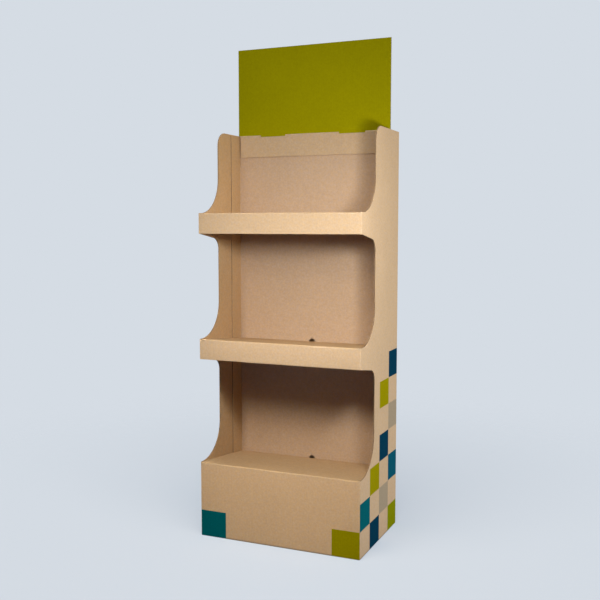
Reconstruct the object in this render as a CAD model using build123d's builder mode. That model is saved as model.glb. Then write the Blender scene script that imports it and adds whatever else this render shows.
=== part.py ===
"""Corrugated-board display stand: a folded body with three sloping floors, an inner back panel and a header."""

import os
from math import atan2, cos, sqrt, tan

from build123d import *

# Board and fits, in millimetres like every size below
board = 3.0
fold_radius = 4.0
fit = 0.4

# Walls of the body, one sheet folded into a tube
body_width = 600.0
body_depth = 400.0
glue_flap_width = 35.0
bottom_flap_width = 60.0
bottom_fold_radius = 2.5
mitre_gap = 3.0

# Floors, hinged on the top edges of the base front and of the lips
floor_count = 3
base_height = 267.0
floor_pitch = 440.0
top_bay_height = 291.0
floor_depth = 308.0
floor_drop = 31.0
lip_height = 71.0
fold_relief = 8.0
relief_depth = 25.0

# Flaps that hang from the floors along the side walls, and the tabs behind the floors
hanger_start = 80.0
hanger_depth = 73.0
hanger_taper = 15.0
floor_tab_width = 90.0
floor_tab_spacing = 300.0
floor_tab_reach = 18.0

# Cut-outs in the front of the side panels
side_setback = 142.0
sweep_radius = 125.0
corner_radius = 42.0
lip_slant = 22.0
shoulder_radius = 50.0

# Inner back panel
back_flap_width = 70.0
finger_radius = 11.5

# Top flap, its front strip and the slots in the fold between them
strip_height = 80.0
strip_end_gap = 9.0
cap_end_gap = 1.5
notch_depth = 6.5

# Header card
header_inset = 3.0
header_height = 315.0
header_tab_width = 100.0
header_tab_spacing = 310.0
header_tab_length = 60.0
header_tab_chamfer = 8.0

# Places that follow from the sizes above
front = -body_depth / 2
rear = body_depth / 2
inner_half = body_width / 2 - board
inside_radius = fold_radius - board
side_edge = front + side_setback
back_face = front + floor_depth
back_flap_edge = back_face - back_flap_width
strip_front = back_face - 2 * board - 2 * fit
header_width = body_width - 2 * header_inset
floor_slope = atan2(floor_drop, floor_depth)
floor_section = board / cos(floor_slope)
floor_tops = [base_height + level * floor_pitch for level in range(floor_count)]
body_height = floor_tops[-1] + top_bay_height


def floor_z(y):
    """Height of a floor's upper face at depth y, below the top of its front fold."""
    return (front - y) * tan(floor_slope)


# One floor with its front fold, side hangers and rear tabs, the top of the fold at z = 0
tab_end = back_face + board + floor_tab_reach
fold_lap = 3 * fold_radius
hanger_front = front + hanger_start
hanger_rear = back_flap_edge - fit
with BuildPart() as floor_flap:
    with BuildSketch(Plane.YZ) as floor_profile:
        inner_corner = (front + board, floor_z(front + board) - floor_section)
        with BuildLine():
            Polyline(
                (front, -fold_lap),
                (front, 0),
                (tab_end, floor_z(tab_end)),
                (tab_end, floor_z(tab_end) - floor_section),
                inner_corner,
                (front + board, -fold_lap),
                close=True,
            )
        make_face()
        fillet(floor_profile.vertices().sort_by_distance((front, 0))[0], fold_radius)
        fillet(floor_profile.vertices().sort_by_distance(inner_corner)[0], inside_radius)
    extrude(amount=inner_half, both=True)
    with BuildSketch():
        with Locations((0, front)):
            Rectangle(body_width - 2 * fold_relief, relief_depth, align=(Align.CENTER, Align.MIN))
        with Locations((0, hanger_rear)):
            wide_length = hanger_rear - front - relief_depth
            Rectangle(2 * inner_half, wide_length, align=(Align.CENTER, Align.MAX))
        with Locations((0, back_face - fit)):
            narrow_length = back_face - fit - hanger_rear
            Rectangle(2 * (inner_half - board - fit), narrow_length, align=(Align.CENTER, Align.MAX))
        with Locations((0, tab_end)):
            with GridLocations(floor_tab_spacing, 1, 2, 1):
                tab_length = tab_end - back_face + board
                Rectangle(floor_tab_width, tab_length, align=(Align.CENTER, Align.MAX))
    extrude(amount=2 * floor_drop + fold_lap, both=True, mode=Mode.INTERSECT)
    for side in (-1, 1):
        with BuildSketch(Plane.YZ.offset(side * inner_half)):
            with BuildLine():
                Polyline(
                    (hanger_front, floor_z(hanger_front) - board / 2),
                    (hanger_rear, floor_z(hanger_rear) - board / 2),
                    (hanger_rear, floor_z(hanger_rear) - hanger_depth),
                    (hanger_front + hanger_taper, floor_z(hanger_front + hanger_taper) - hanger_depth),
                    close=True,
                )
            make_face()
        extrude(amount=-side * board)

# Top flap folded forward from the rear wall, then down as the front strip
cap_lap = 3 * fold_radius
with BuildPart() as cap_flap:
    with BuildSketch(Plane.YZ) as cap_profile:
        with BuildLine():
            Polyline(
                (rear, body_height - cap_lap),
                (rear, body_height),
                (strip_front, body_height),
                (strip_front, body_height - strip_height),
                (strip_front + board, body_height - strip_height),
                (strip_front + board, body_height - board),
                (rear - board, body_height - board),
                (rear - board, body_height - cap_lap),
                close=True,
            )
        make_face()
        for y in (rear, strip_front):
            fillet(cap_profile.vertices().sort_by_distance((y, body_height))[0], fold_radius)
        for y in (rear - board, strip_front + board):
            fillet(cap_profile.vertices().sort_by_distance((y, body_height - board))[0], inside_radius)
    extrude(amount=inner_half - cap_end_gap, both=True)
    with Locations((0, strip_front, body_height - board)):
        with GridLocations(2 * inner_half, 1, 2, 1):
            Box(
                2 * strip_end_gap,
                2 * fold_radius,
                strip_height,
                align=(Align.CENTER, Align.CENTER, Align.MAX),
                mode=Mode.SUBTRACT,
            )
    with Locations((0, strip_front, body_height - notch_depth)):
        with GridLocations(header_tab_spacing, 1, 2, 1):
            Box(
                header_tab_width + 2 * fit,
                back_face - strip_front,
                notch_depth,
                align=(Align.CENTER, Align.MIN, Align.MIN),
                mode=Mode.SUBTRACT,
            )

with BuildPart() as body:
    # Tube of four walls
    with BuildSketch():
        RectangleRounded(body_width, body_depth, fold_radius)
        RectangleRounded(2 * inner_half, body_depth - 2 * board, inside_radius, mode=Mode.SUBTRACT)
    extrude(amount=body_height)

    # Openings between the floors and the lips above them, through the front and both sides
    for low, high in zip(floor_tops, floor_tops[1:]):
        lip_edge = high - lip_height
        with BuildSketch(Plane.YZ) as opening:
            with BuildLine():
                Polyline(
                    (front - board, low),
                    (side_edge, low),
                    (side_edge, lip_edge - lip_slant),
                    (front + board, lip_edge),
                    (front - board, lip_edge),
                    close=True,
                )
            make_face()
            fillet(opening.vertices().sort_by_distance((side_edge, low))[0], sweep_radius)
            fillet(opening.vertices().sort_by_distance((side_edge, lip_edge - lip_slant))[0], corner_radius)
        extrude(amount=body_width, both=True, mode=Mode.SUBTRACT)

    # Opening above the top floor, with the rounded shoulders of the side panels
    top_edge = floor_tops[-1]
    with BuildSketch(Plane.YZ) as top_opening:
        with BuildLine():
            Polyline(
                (side_edge + shoulder_radius, body_height),
                (front - board, body_height),
                (front - board, top_edge),
                (side_edge, top_edge),
                (side_edge, body_height - shoulder_radius),
            )
            shoulder_start = (side_edge, body_height - shoulder_radius)
            TangentArc(shoulder_start, (side_edge + shoulder_radius, body_height), tangent=(0, 1))
        make_face()
        fillet(top_opening.vertices().sort_by_distance((side_edge, top_edge))[0], sweep_radius)
    extrude(amount=body_width, both=True, mode=Mode.SUBTRACT)

    # Flaps turned in under the base, mitred at the corners
    inner_depth = body_depth - 2 * board
    with BuildSketch():
        Rectangle(2 * inner_half, inner_depth)
        Rectangle(
            2 * (inner_half - bottom_flap_width),
            inner_depth - 2 * bottom_flap_width,
            mode=Mode.SUBTRACT,
        )
        mitre_x = inner_half - bottom_flap_width / 2
        mitre_y = (inner_depth - bottom_flap_width) / 2
        for x, y in ((mitre_x, mitre_y), (-mitre_x, mitre_y), (mitre_x, -mitre_y), (-mitre_x, -mitre_y)):
            turn = 45 if x * y > 0 else -45
            with Locations((x, y)):
                Rectangle(bottom_flap_width * sqrt(2) + mitre_gap, mitre_gap, rotation=turn, mode=Mode.SUBTRACT)
    extrude(amount=board)
    fillet(body.faces().sort_by(Axis.Z)[0].outer_wire().edges(), bottom_fold_radius)

    # Flap that closes the tube, glued to the inside of the rear wall
    with Locations((-inner_half, rear - board, body_height / 2)):
        Box(
            glue_flap_width,
            board,
            body_height - 2 * glue_flap_width,
            align=(Align.MIN, Align.MAX, Align.CENTER),
        )

    # Floors, on a front wall cut down to their folds between the ears at its corners
    with Locations([(0, front, top) for top in floor_tops]):
        Box(
            body_width - 2 * fold_relief,
            2 * board,
            4 * fold_radius,
            mode=Mode.SUBTRACT,
        )
    with Locations([(0, 0, top) for top in floor_tops]):
        add(floor_flap.part)

    # Top flap, on a rear wall cut down to its fold
    with Locations((0, rear, body_height)):
        Box(
            2 * (inner_half - cap_end_gap),
            2 * board,
            2 * fold_radius,
            mode=Mode.SUBTRACT,
        )
    add(cap_flap.part)

with BuildPart() as back_panel:
    with BuildSketch(Plane.XY.offset(board)) as back_section:
        with Locations((0, back_face + board)):
            Rectangle(2 * inner_half, back_flap_width + board, align=(Align.CENTER, Align.MAX))
        with Locations((0, back_face)):
            Rectangle(
                2 * (inner_half - board),
                back_flap_width,
                align=(Align.CENTER, Align.MAX),
                mode=Mode.SUBTRACT,
            )
        for side in (-1, 1):
            outer_fold = (side * inner_half, back_face + board)
            inner_fold = (side * (inner_half - board), back_face)
            fillet(back_section.vertices().sort_by_distance(outer_fold)[0], fold_radius)
            fillet(back_section.vertices().sort_by_distance(inner_fold)[0], inside_radius)
    extrude(amount=body_height - 2 * board - fit)

    # Slots for the floors' tabs, and a finger hole at the rear edge of each floor
    slot_top = floor_z(back_face) + fit
    slot_bottom = floor_z(back_face + board) - floor_section - fit
    with BuildSketch(Plane.XZ.offset(-back_face)):
        for top in floor_tops:
            with Locations((0, top + slot_top)):
                with GridLocations(floor_tab_spacing, 1, 2, 1):
                    Rectangle(
                        floor_tab_width + 2 * fit,
                        slot_top - slot_bottom,
                        align=(Align.CENTER, Align.MAX),
                    )
            with Locations((0, top + floor_z(back_face))):
                Circle(finger_radius)
    extrude(amount=-board, mode=Mode.SUBTRACT)

with BuildPart() as header_card:
    with BuildSketch(Plane.XZ.offset(fit - back_face)) as card:
        with Locations((0, body_height)):
            Rectangle(header_width, header_height, align=(Align.CENTER, Align.MIN))
            with GridLocations(header_tab_spacing, 1, 2, 1):
                Rectangle(header_tab_width, header_tab_length, align=(Align.CENTER, Align.MAX))
        chamfer(card.vertices().group_by(Axis.Y)[0], header_tab_chamfer)
    extrude(amount=board)

os.makedirs("parts", exist_ok=True)
body.part.label = "body"
back_panel.part.label = "back_panel"
header_card.part.label = "header_card"
for piece in (body.part, back_panel.part, header_card.part):
    export_step(piece, f"parts/{piece.label}.step")
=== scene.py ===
"""Looks, light and camera for a corrugated-board display stand."""

from math import pi, radians

import bpy
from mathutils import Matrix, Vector
from mathutils.bvhtree import BVHTree


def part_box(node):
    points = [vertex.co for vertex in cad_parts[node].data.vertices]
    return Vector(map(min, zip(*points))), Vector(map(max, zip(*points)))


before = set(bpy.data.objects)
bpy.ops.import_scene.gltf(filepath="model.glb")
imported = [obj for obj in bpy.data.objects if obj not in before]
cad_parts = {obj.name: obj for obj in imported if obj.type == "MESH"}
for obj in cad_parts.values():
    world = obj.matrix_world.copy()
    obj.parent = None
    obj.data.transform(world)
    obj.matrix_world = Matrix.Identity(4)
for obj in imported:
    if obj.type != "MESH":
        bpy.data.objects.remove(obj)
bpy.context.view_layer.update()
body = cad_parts["body"]
back_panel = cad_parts["back_panel"]
header_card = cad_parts["header_card"]
stand = [body, back_panel, header_card]

# Sizes of the board and of the stand, in metres
BOARD = 0.003
FLUTE_PITCH = 0.0065
# Height of the painted shade that darkens every board towards the ground
CONTACT_SHADE_HEIGHT = 0.007
SKIN = 0.00001
CUT_DEPTH = 1.8 * BOARD
HALF_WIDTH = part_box("body")[1].x
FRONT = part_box("body")[0].y
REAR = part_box("body")[1].y
CAP_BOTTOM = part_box("body")[1].z - BOARD
HEADER_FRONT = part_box("header_card")[0].y
BACK_FLAP_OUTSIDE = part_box("back_panel")[1].x
BACK_PANEL_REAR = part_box("back_panel")[1].y

# Shares of a normal from which a face counts as turned that way
FACING = 0.5
PRINT_FACING = 0.7

# Checker on the base, in cells counted from the front lower corners
CELL_DEEP = (REAR - FRONT) / 4
CELL_HIGH = 0.094
FRONT_ROWS = 2.0
ROWS_PER_COLUMN = 2.0
INKS_PER_ROW = 2.0
INKS_PER_SIDE = 4.0

# Noises in the liner: scale per metre, detail and stretch
NOISES = {
    "speckle": (900.0, 3.0),
    "fibre": (420.0, 4.0, (0.25, 0.25, 1.0)),
    "mottle": (150.0, 2.0),
    "blotch": (55.0, 2.0),
    "cloud": (7.0, 3.0),
    "tint": (110.0, 2.0),
}
FLECK_SCALE = 160.0
FLECK_RADIUS = 0.10

# How far each pattern moves the tone of the bare liner, and of the ink on it
LINER_SHARES = {
    "speckle": 0.030,
    "fibre": 0.030,
    "mottle": 0.074,
    "blotch": 0.028,
    "cloud": 0.022,
    "flutes": 0.008,
    "flecks": -0.12,
}
INK_SHARES = {"flutes": 0.02, "speckle": 0.05, "mottle": 0.08, "cloud": 0.03}
TINT_SHARE = 0.8
# Tone of the painted shade at the very bottom edge of a board, where it stands on the ground
CONTACT_SHADE_TONE = 0.35

# Gloss of the board, and its relief with depths in metres
LINER_ROUGHNESS = 0.80
FIBRE_ROUGHNESS = 0.03
INK_SMOOTHING = 0.22
EDGE_ROUGHNESS = 0.9
SPECULAR_LEVEL = 0.004
FLUTE_RELIEF = 0.35
FIBRE_RELIEF = 0.25
LINER_BUMP = {"Strength": 0.16, "Distance": 0.0004}
EDGE_BUMP = {"Strength": 0.5, "Distance": 0.0005}

# Papers in a cut edge, in shares of the board's thickness
MEDIUM_SWING = 0.36
MEDIUM_HALF = 0.13
LINER_START = 0.38
FUZZ_NOISE = (700.0, 3.0)
FUZZ_SHARE = 0.08


def srgb(red, green, blue):
    """Linear colour of an sRGB colour given from 0 to 255."""
    shares = [value / 255 for value in (red, green, blue)]
    linear = [s / 12.92 if s <= 0.04045 else ((s + 0.055) / 1.055) ** 2.4 for s in shares]
    return (*linear, 1.0)


# Colours of the board and of the inks on it
OUTER_KRAFT = (0.505, 0.356, 0.213, 1.0)
# Inner liner: partly its own paler tone, partly painted light that lifts the shaded inner walls
LIGHTENED_INNER_KRAFT = (0.55, 0.363, 0.190, 1.0)
# The floors' upper faces are the outer liner, painted darker as shade
SHADED_FLOOR_KRAFT = (0.47, 0.312, 0.165, 1.0)
BACK_KRAFT = (0.50, 0.352, 0.230, 1.0)
PAPER_EDGE = (0.48, 0.33, 0.185, 1.0)
FLUTE_SHADOW = (0.12, 0.075, 0.042, 1.0)
HEADER_OLIVE = (0.284, 0.253, 0.001, 1.0)
INKS = [
    srgb(122, 126, 0),
    srgb(152, 137, 113),
    srgb(138, 129, 0),
    srgb(132, 124, 0),
    srgb(4, 76, 94),
    srgb(0, 48, 68),
    srgb(0, 85, 92),
]
TINT = (1.03, 1.0, 0.92)
BACKGROUND = srgb(213, 220, 228)


class Nodes:
    """Short calls for wiring the nodes of a material or of the world."""

    def __init__(self, tree):
        self.tree = tree

    def feed(self, socket, value):
        if isinstance(value, bpy.types.NodeSocket):
            self.tree.links.new(value, socket)
        else:
            socket.default_value = value

    def node(self, kind, *values, operation=None, **inputs):
        """A node whose inputs are given in order, by name, or both."""
        made = self.tree.nodes.new(kind)
        if operation:
            made.operation = operation
        for socket, value in zip(made.inputs, values):
            self.feed(socket, value)
        for name, value in inputs.items():
            self.feed(made.inputs[name], value)
        return made

    def math(self, operation, *values):
        return self.node("ShaderNodeMath", *values, operation=operation).outputs[0]

    def seen(self):
        """1 for camera, glossy and transmission rays, and 0 for the others."""
        path = self.node("ShaderNodeLightPath").outputs
        straight_or_glossy = self.math("MAXIMUM", path["Is Camera Ray"], path["Is Glossy Ray"])
        return self.math("MAXIMUM", straight_or_glossy, path["Is Transmission Ray"])


class Shader(Nodes):
    """A material in the making, with the place and the normal of the point that it shades."""

    def __init__(self, name):
        self.material = bpy.data.materials.new(name)
        self.material.use_nodes = True
        super().__init__(self.material.node_tree)
        self.surface = self.tree.nodes["Principled BSDF"]
        self.place = self.node("ShaderNodeTexCoord").outputs["Object"]
        self.x, self.y, self.z = self.node("ShaderNodeSeparateXYZ", self.place).outputs
        normal = self.node("ShaderNodeNewGeometry").outputs["True Normal"]
        self.normal_x, self.normal_y, _ = self.node("ShaderNodeSeparateXYZ", normal).outputs

    def noise(self, scale, detail, stretch=(1, 1, 1)):
        """Noise from about -1 to 1, with its grain drawn out along the axes of small stretch."""
        place = self.node("ShaderNodeMapping", Vector=self.place, Scale=stretch).outputs[0]
        grain = self.node("ShaderNodeTexNoise", Vector=place, Scale=scale, Detail=detail)
        return self.math("MULTIPLY_ADD", grain.outputs["Fac"], 4.0, -2.0)

    def mix(self, factor, first, second):
        """A colour between two; a mix node's colour sockets come after those of its other kinds of data."""
        made = self.node("ShaderNodeMix")
        made.data_type = "RGBA"
        self.feed(made.inputs[0], factor)
        self.feed(made.inputs[6], first)
        self.feed(made.inputs[7], second)
        return made.outputs[2]

    def scaled(self, colour, factor):
        vector = colour if isinstance(colour, bpy.types.NodeSocket) else colour[:3]
        return self.node("ShaderNodeVectorMath", vector, operation="SCALE", Scale=factor).outputs[0]

    def pick(self, share, colours):
        """One of the colours, by a share from 0 to 1."""
        ramp = self.node("ShaderNodeValToRGB", share)
        ramp.color_ramp.interpolation = "CONSTANT"
        stops = ramp.color_ramp.elements
        while len(stops) < len(colours):
            stops.new(1.0)
        for index, colour in enumerate(colours):
            stops[index].position = index / len(colours)
            stops[index].color = colour
        return ramp.outputs["Color"]

    def tone(self, patterns, shares):
        """A tone around 1 that each pattern moves by its share."""
        tone = 1.0
        for name, share in shares.items():
            tone = self.math("MULTIPLY_ADD", patterns[name], share, tone)
        return tone


def flute_wave(shader, across):
    """Sine of the corrugation, at a place measured across the flutes."""
    return shader.math("SINE", shader.math("MULTIPLY", across, 2 * pi / FLUTE_PITCH))


def across_flutes(shader):
    """Place across the flutes, which run upright in every wall and front to rear in the floors."""
    faces_side = shader.math("GREATER_THAN", shader.math("ABSOLUTE", shader.normal_x), FACING)
    across_side = shader.math("MULTIPLY", shader.y, faces_side)
    across_front = shader.math("MULTIPLY", shader.x, shader.math("SUBTRACT", 1.0, faces_side))
    return shader.math("ADD", across_side, across_front)


def board_surface(name, colour, ink=None):
    """Kraft liner with fibres, specks, the faint lines of the flutes, and painted shade near its bottom
    edge.

    ink(shader), where there is one, gives a colour and the mask of where it is printed.
    """
    shader = Shader(name)
    patterns = {pattern: shader.noise(*settings) for pattern, settings in NOISES.items()}
    patterns["flutes"] = flute_wave(shader, across_flutes(shader))
    spots = shader.node("ShaderNodeTexVoronoi", Vector=shader.place, Scale=FLECK_SCALE)
    patterns["flecks"] = shader.math("LESS_THAN", spots.outputs["Distance"], FLECK_RADIUS)

    # Painted shade: the liner darkens towards its bottom edge, where the stand meets the ground
    contact_shade = shader.node("ShaderNodeMapRange", shader.z, 0.0, CONTACT_SHADE_HEIGHT, CONTACT_SHADE_TONE)
    tone = shader.math("MULTIPLY", contact_shade.outputs["Result"], shader.tone(patterns, LINER_SHARES))
    redder = (*[value * share for value, share in zip(colour, TINT)], 1.0)
    greyer = (*[value / share for value, share in zip(colour, TINT)], 1.0)
    tint = shader.math("MULTIPLY_ADD", patterns["tint"], TINT_SHARE, 0.5)
    liner = shader.scaled(shader.mix(tint, redder, greyer), tone)
    roughness = shader.math("MULTIPLY_ADD", patterns["fibre"], FIBRE_ROUGHNESS, LINER_ROUGHNESS)

    if ink:
        ink_colour, mask = ink(shader)
        film = shader.scaled(ink_colour, shader.tone(patterns, INK_SHARES))
        liner = shader.mix(mask, liner, film)
        roughness = shader.math("MULTIPLY_ADD", mask, -INK_SMOOTHING, roughness)

    fibres = shader.math("MULTIPLY", patterns["fibre"], FIBRE_RELIEF)
    relief = shader.math("MULTIPLY_ADD", patterns["flutes"], FLUTE_RELIEF, fibres)
    bump = shader.node("ShaderNodeBump", Height=relief, **LINER_BUMP)
    shader.feed(shader.surface.inputs["Base Color"], liner)
    shader.feed(shader.surface.inputs["Roughness"], roughness)
    shader.feed(shader.surface.inputs["Normal"], bump.outputs["Normal"])
    shader.surface.inputs["Specular IOR Level"].default_value = SPECULAR_LEVEL
    return shader.material


def checker_ink(shader):
    """Colour and mask of the checker, which climbs to the rear of both sides and turns the front corners."""
    faces_side = shader.math("GREATER_THAN", shader.math("ABSOLUTE", shader.normal_x), PRINT_FACING)
    faces_front = shader.math("LESS_THAN", shader.normal_y, -PRINT_FACING)
    deep = shader.math("SUBTRACT", shader.y, FRONT)
    inward = shader.math("SUBTRACT", HALF_WIDTH, shader.math("ABSOLUTE", shader.x))
    column_side = shader.math("FLOOR", shader.math("DIVIDE", deep, CELL_DEEP))
    cells_inward = shader.math("FLOOR", shader.math("DIVIDE", inward, CELL_DEEP))
    column_front = shader.math("SUBTRACT", -1.0, cells_inward)
    column = shader.math("MULTIPLY", column_front, faces_front)
    column = shader.math("MULTIPLY_ADD", column_side, faces_side, column)
    row = shader.math("FLOOR", shader.math("DIVIDE", shader.z, CELL_HIGH))

    rows_shown = shader.math("MULTIPLY_ADD", column, ROWS_PER_COLUMN, FRONT_ROWS)
    shown_side = shader.math("LESS_THAN", row, rows_shown)
    lowest_row = shader.math("LESS_THAN", row, 1.0)
    corner_column = shader.math("GREATER_THAN", column, -2.0)
    shown_front = shader.math("MULTIPLY", lowest_row, corner_column)
    shown = shader.math("MULTIPLY", faces_front, shown_front)
    shown = shader.math("MULTIPLY_ADD", faces_side, shown_side, shown)
    odd = shader.math("FLOORED_MODULO", shader.math("ADD", column, row), 2.0)
    mask = shader.math("MULTIPLY", odd, shown)

    right = shader.math("GREATER_THAN", shader.x, 0.0)
    order = shader.math("MULTIPLY_ADD", row, INKS_PER_ROW, column)
    order = shader.math("MULTIPLY_ADD", right, INKS_PER_SIDE, order)
    order = shader.math("FLOORED_MODULO", order, float(len(INKS)))
    share = shader.math("DIVIDE", shader.math("ADD", order, 0.5), float(len(INKS)))
    return shader.pick(share, INKS), mask


def header_ink(shader):
    """Colour and mask of the even print on the front of the header card."""
    return HEADER_OLIVE, shader.math("LESS_THAN", shader.normal_y, -FACING)


def cut_edge(name, depth, across):
    """Sawn edge of the board: two liners and the fluted paper between them.

    depth(shader) runs from 0 to 1 through the board, and across(shader) is the place across the flutes.
    """
    shader = Shader(name)
    level = depth(shader)
    medium = shader.math("MULTIPLY_ADD", flute_wave(shader, across(shader)), MEDIUM_SWING, 0.5)
    off_medium = shader.math("ABSOLUTE", shader.math("SUBTRACT", level, medium))
    off_middle = shader.math("ABSOLUTE", shader.math("SUBTRACT", level, 0.5))
    in_medium = shader.math("LESS_THAN", off_medium, MEDIUM_HALF)
    in_liner = shader.math("GREATER_THAN", off_middle, LINER_START)
    paper = shader.math("MAXIMUM", in_medium, in_liner)
    fuzz = shader.math("MULTIPLY_ADD", shader.noise(*FUZZ_NOISE), FUZZ_SHARE, 1.0)
    colour = shader.scaled(shader.mix(paper, FLUTE_SHADOW, PAPER_EDGE), fuzz)
    bump = shader.node("ShaderNodeBump", Height=paper, **EDGE_BUMP)
    shader.feed(shader.surface.inputs["Base Color"], colour)
    shader.feed(shader.surface.inputs["Normal"], bump.outputs["Normal"])
    shader.surface.inputs["Roughness"].default_value = EDGE_ROUGHNESS
    shader.surface.inputs["Specular IOR Level"].default_value = SPECULAR_LEVEL
    return shader.material


def wall_depth(shader):
    """How deep a point lies in the wall of the tube that it belongs to."""
    side = shader.math("SUBTRACT", shader.math("ABSOLUTE", shader.x), HALF_WIDTH - BOARD)
    front_rear = shader.math("SUBTRACT", shader.math("ABSOLUTE", shader.y), REAR - BOARD)
    return shader.math("DIVIDE", shader.math("MAXIMUM", side, front_rear), BOARD)


def wall_run(shader):
    """Place along the wall, across its flutes."""
    in_side = shader.math("GREATER_THAN", shader.math("ABSOLUTE", shader.x), HALF_WIDTH - BOARD)
    along = shader.math("MULTIPLY", shader.x, shader.math("SUBTRACT", 1.0, in_side))
    return shader.math("MULTIPLY_ADD", shader.y, in_side, along)


def flap_depth(shader):
    """How deep a point lies in a side flap of the inner back panel."""
    inner_face = BACK_FLAP_OUTSIDE - BOARD
    past_face = shader.math("SUBTRACT", shader.math("ABSOLUTE", shader.x), inner_face)
    return shader.math("DIVIDE", past_face, BOARD)


def header_depth(shader):
    """How deep a point lies in the header card."""
    return shader.math("DIVIDE", shader.math("SUBTRACT", shader.y, HEADER_FRONT), BOARD)


# Places of the materials in a node's list
OUTER_SLOT, INNER_SLOT, EDGE_SLOT, SHADED_FLOOR_SLOT = range(4)


def dress(node, materials, on_wall, is_outer):
    """Gives each facet its slot: a cut edge where the solid is deep behind it, else one of the liners."""
    mesh = node.data
    mesh.materials.clear()
    for material in materials:
        mesh.materials.append(material)
    tree = BVHTree.FromObject(node, bpy.context.evaluated_depsgraph_get())
    for polygon in mesh.polygons:
        inward = -polygon.normal
        start = polygon.center + inward * SKIN
        depth = tree.ray_cast(start, inward)[3]
        is_cut = depth is None or depth > CUT_DEPTH
        if is_cut and not on_wall(polygon.center):
            polygon.material_index = EDGE_SLOT
        elif is_outer(polygon):
            polygon.material_index = OUTER_SLOT
        else:
            polygon.material_index = INNER_SLOT


def on_tube(center):
    """True on the flat outside of the tube, also where a floor meets the wall behind it."""
    on_side = abs(center.x) > HALF_WIDTH - SKIN
    on_front_or_rear = abs(center.y) > REAR - SKIN
    return on_side or on_front_or_rear


def on_no_wall(center):
    """False everywhere, for a sheet with nothing fused behind its faces."""
    return False


def on_card(center):
    """True on the front and the rear of the header card."""
    return min(center.y - HEADER_FRONT, HEADER_FRONT + BOARD - center.y) < SKIN


def outside_body(polygon):
    """True on the face of the sheet that is printed: outside the tube, and on the top flap and its strip."""
    center = polygon.center
    past_side = abs(center.x) > HALF_WIDTH - BOARD / 2
    past_front_or_rear = abs(center.y) > REAR - BOARD / 2
    on_cap = polygon.normal.z > FACING and center.z > CAP_BOTTOM
    on_strip = polygon.normal.y < -FACING and center.y > 0
    return past_side or past_front_or_rear or on_cap or on_strip


def on_floor(polygon):
    """True on the upper faces of the floors."""
    center = polygon.center
    inside = abs(center.x) < HALF_WIDTH - BOARD / 2 and abs(center.y) < REAR - BOARD / 2
    return inside and polygon.normal.z > FACING and BOARD < center.z < CAP_BOTTOM


def faces_front(polygon):
    return polygon.normal.y < -FACING


def not_rear(polygon):
    return polygon.normal.y < FACING


# Materials, and the nodes that wear them
outer_board = board_surface("outer_board", OUTER_KRAFT, checker_ink)
plain_board = board_surface("plain_board", OUTER_KRAFT)
inner_board = board_surface("inner_board", LIGHTENED_INNER_KRAFT)
back_board = board_surface("back_board", BACK_KRAFT)
shaded_floor_board = board_surface("shaded_floor_board", SHADED_FLOOR_KRAFT)
header_board = board_surface("header_board", OUTER_KRAFT, header_ink)
wall_edge = cut_edge("wall_edge", wall_depth, wall_run)
flap_edge = cut_edge("flap_edge", flap_depth, lambda shader: shader.y)
header_edge = cut_edge("header_edge", header_depth, lambda shader: shader.x)

dress(body, [outer_board, inner_board, wall_edge, shaded_floor_board], on_tube, outside_body)
# The upper faces of the floors take the copy of the liner painted darker as shade
for polygon in body.data.polygons:
    if polygon.material_index == INNER_SLOT and on_floor(polygon):
        polygon.material_index = SHADED_FLOOR_SLOT
dress(back_panel, [back_board, inner_board, flap_edge], on_no_wall, faces_front)
dress(header_card, [header_board, plain_board, header_edge], on_card, not_rear)

# Studio floor: a pale disc that fades into the background away from the stand
FLOOR_CORNERS = 96
FLOOR_RADIUS = 3.2
FLOOR_CLEARANCE = 0.0003
FADE_START = 1.3
FADE_END = 2.8
FLOOR_MATT = (0.27, 0.257, 0.238, 1.0)
FLOOR_LIGHT = 1.3
FLOOR_BOUNCE = (0.110, 0.145, 0.245, 1.0)

bpy.ops.mesh.primitive_circle_add(
    vertices=FLOOR_CORNERS,
    radius=FLOOR_RADIUS,
    fill_type="NGON",
    location=(0, 0, -FLOOR_CLEARANCE),
)
floor = bpy.context.object
floor.name = "studio_floor"
pale = Shader("studio_floor")
pale.tree.nodes.remove(pale.surface)
glow_colour = [full - FLOOR_LIGHT * matt for full, matt in zip(BACKGROUND[:3], FLOOR_MATT)] + [1.0]
glow = pale.node("ShaderNodeEmission", Color=glow_colour, Strength=pale.seen())
is_bounce = pale.node("ShaderNodeLightPath").outputs["Is Diffuse Ray"]
matt_colour = pale.mix(is_bounce, FLOOR_MATT, FLOOR_BOUNCE)
matt = pale.node("ShaderNodeBsdfDiffuse", Color=matt_colour)
lit = pale.node("ShaderNodeAddShader", glow.outputs[0], matt.outputs[0])
reach = pale.node("ShaderNodeVectorMath", pale.place, operation="LENGTH")
fade = pale.node("ShaderNodeMapRange", reach.outputs["Value"], FADE_START, FADE_END)
fade.interpolation_type = "SMOOTHSTEP"
clear = pale.node("ShaderNodeBsdfTransparent")
blend = pale.node("ShaderNodeMixShader", fade.outputs["Result"], lit.outputs[0], clear.outputs[0])
pale.feed(pale.tree.nodes["Material Output"].inputs["Surface"], blend.outputs[0])
floor.data.materials.append(pale.material)

# World: the plain background to the eye, a low even light to the stand
AMBIENT = (1.0, 0.92, 0.8, 1.0)
AMBIENT_STRENGTH = 0.01

world = bpy.data.worlds.new("studio")
bpy.context.scene.world = world
world.use_nodes = True
sky = Nodes(world.node_tree)
even = sky.tree.nodes["Background"]
even.inputs["Color"].default_value = AMBIENT
even.inputs["Strength"].default_value = AMBIENT_STRENGTH
backdrop = sky.node("ShaderNodeBackground", Color=BACKGROUND)
choice = sky.node("ShaderNodeMixShader", sky.seen(), even.outputs[0], backdrop.outputs[0])
sky.feed(sky.tree.nodes["World Output"].inputs["Surface"], choice.outputs[0])


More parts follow.
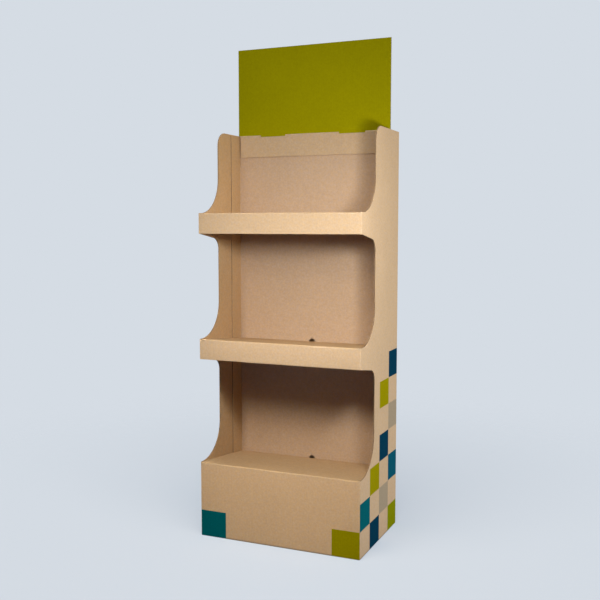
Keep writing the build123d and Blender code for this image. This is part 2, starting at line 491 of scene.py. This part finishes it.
def lamp(name, power, place, target, receivers=stand, kind="AREA", **settings):
    """A lamp at a place, turned to a target, that lights only the receivers."""
    light = bpy.data.lights.new(name, kind)
    light.energy = power
    for setting, value in settings.items():
        setattr(light, setting, value)
    made = bpy.data.objects.new(name, light)
    bpy.context.scene.collection.objects.link(made)
    made.location = place
    made.rotation_euler = (Vector(target) - Vector(place)).to_track_quat("-Z", "Y").to_euler()
    lit_by = bpy.data.collections.new(name + "_lights")
    for receiver in receivers:
        lit_by.objects.link(receiver)
    made.light_linking.receiver_collection = lit_by
    made.visible_camera = False


# Lamps, powers in watts and places in metres; the sun's power is in watts per square metre
WARM = (1.0, 0.90, 0.79)
WARMER = (1.0, 0.80, 0.44)
MIDDLE_BAY = (0.0, -0.1, 0.9)
COLUMN_MIDDLE = 0.7
COLUMN_GAP = 0.005

lamp("key", power=2.8, place=(0.0, -0.9, 1.2), target=MIDDLE_BAY, size=0.16)
lamp("right_near", power=2.0, place=(0.64, -0.72, 1.20), target=MIDDLE_BAY, size=0.13)
lamp("right_front", power=5.9, place=(0.78, -0.73, 1.20), target=MIDDLE_BAY, size=0.13)
lamp("left_high", power=4.8, place=(-0.35, -1.1, 2.0), target=(0.0, 0.1, 1.5), size=0.45)
lamp("overhead", power=38.0, place=(0.0, 0.1, 3.6), target=(0.0, 0.1, 0.0), size=0.8)
lamp(
    "low_beam",
    power=2.05,
    place=(-0.34, -1.46, 1.60),
    target=(0.0, -0.2, 0.4),
    size=0.4,
    spread=radians(60),
    color=WARM,
)
lamp(
    "base_bar",
    power=0.35,
    place=(0.0, -1.3, 0.23),
    target=(0.0, -0.2, 0.13),
    receivers=[body],
    shape="RECTANGLE",
    size=1.2,
    size_y=0.34,
    spread=radians(6),
    color=WARMER,
)
lamp("right_side", power=120.0, place=(4.0, 0.8, 0.6), target=(0.3, 0.0, 0.7), size=1.5)
lamp("left_side", power=60.0, place=(-4.0, 0.8, 0.6), target=(-0.3, 0.0, 0.7), size=1.5)
lamp(
    "lip_bar",
    power=0.05,
    place=(-0.2, -1.3, 0.70),
    target=(-0.05, -0.2, 0.70),
    receivers=[body],
    shape="RECTANGLE",
    size=1.0,
    size_y=0.06,
    spread=radians(8),
)
lamp("rear_left", power=80.0, place=(-1.4, 2.4, 1.7), target=(0.0, 0.2, 0.9), size=1.8)
lamp(
    "behind_panel",
    power=0.12,
    place=(0.0, BACK_PANEL_REAR + COLUMN_GAP, COLUMN_MIDDLE),
    target=(0.0, REAR, COLUMN_MIDDLE),
    receivers=[body],
    shape="RECTANGLE",
    size=0.5,
    size_y=1.2,
)
lamp(
    "floor_sun",
    power=4.85,
    place=(0.4, -1.4, 2.0),
    target=(0.0, 0.0, 0.0),
    receivers=[floor],
    kind="SUN",
    angle=radians(80),
)

# Camera at the photograph's place, in metres, degrees and millimetres of lens
CAMERA_PLACE = (1.2155, -2.8128, 1.103)
CAMERA_YAW = 23.4
CAMERA_PITCH = 4.926
LENS = 51.65

eye = bpy.data.objects.new("camera", bpy.data.cameras.new("camera"))
bpy.context.scene.collection.objects.link(eye)
eye.data.lens = LENS
eye.location = CAMERA_PLACE
eye.rotation_euler = (radians(90 - CAMERA_PITCH), 0.0, radians(CAMERA_YAW))
bpy.context.scene.camera = eye
bpy.context.scene.view_settings.view_transform = "Standard"
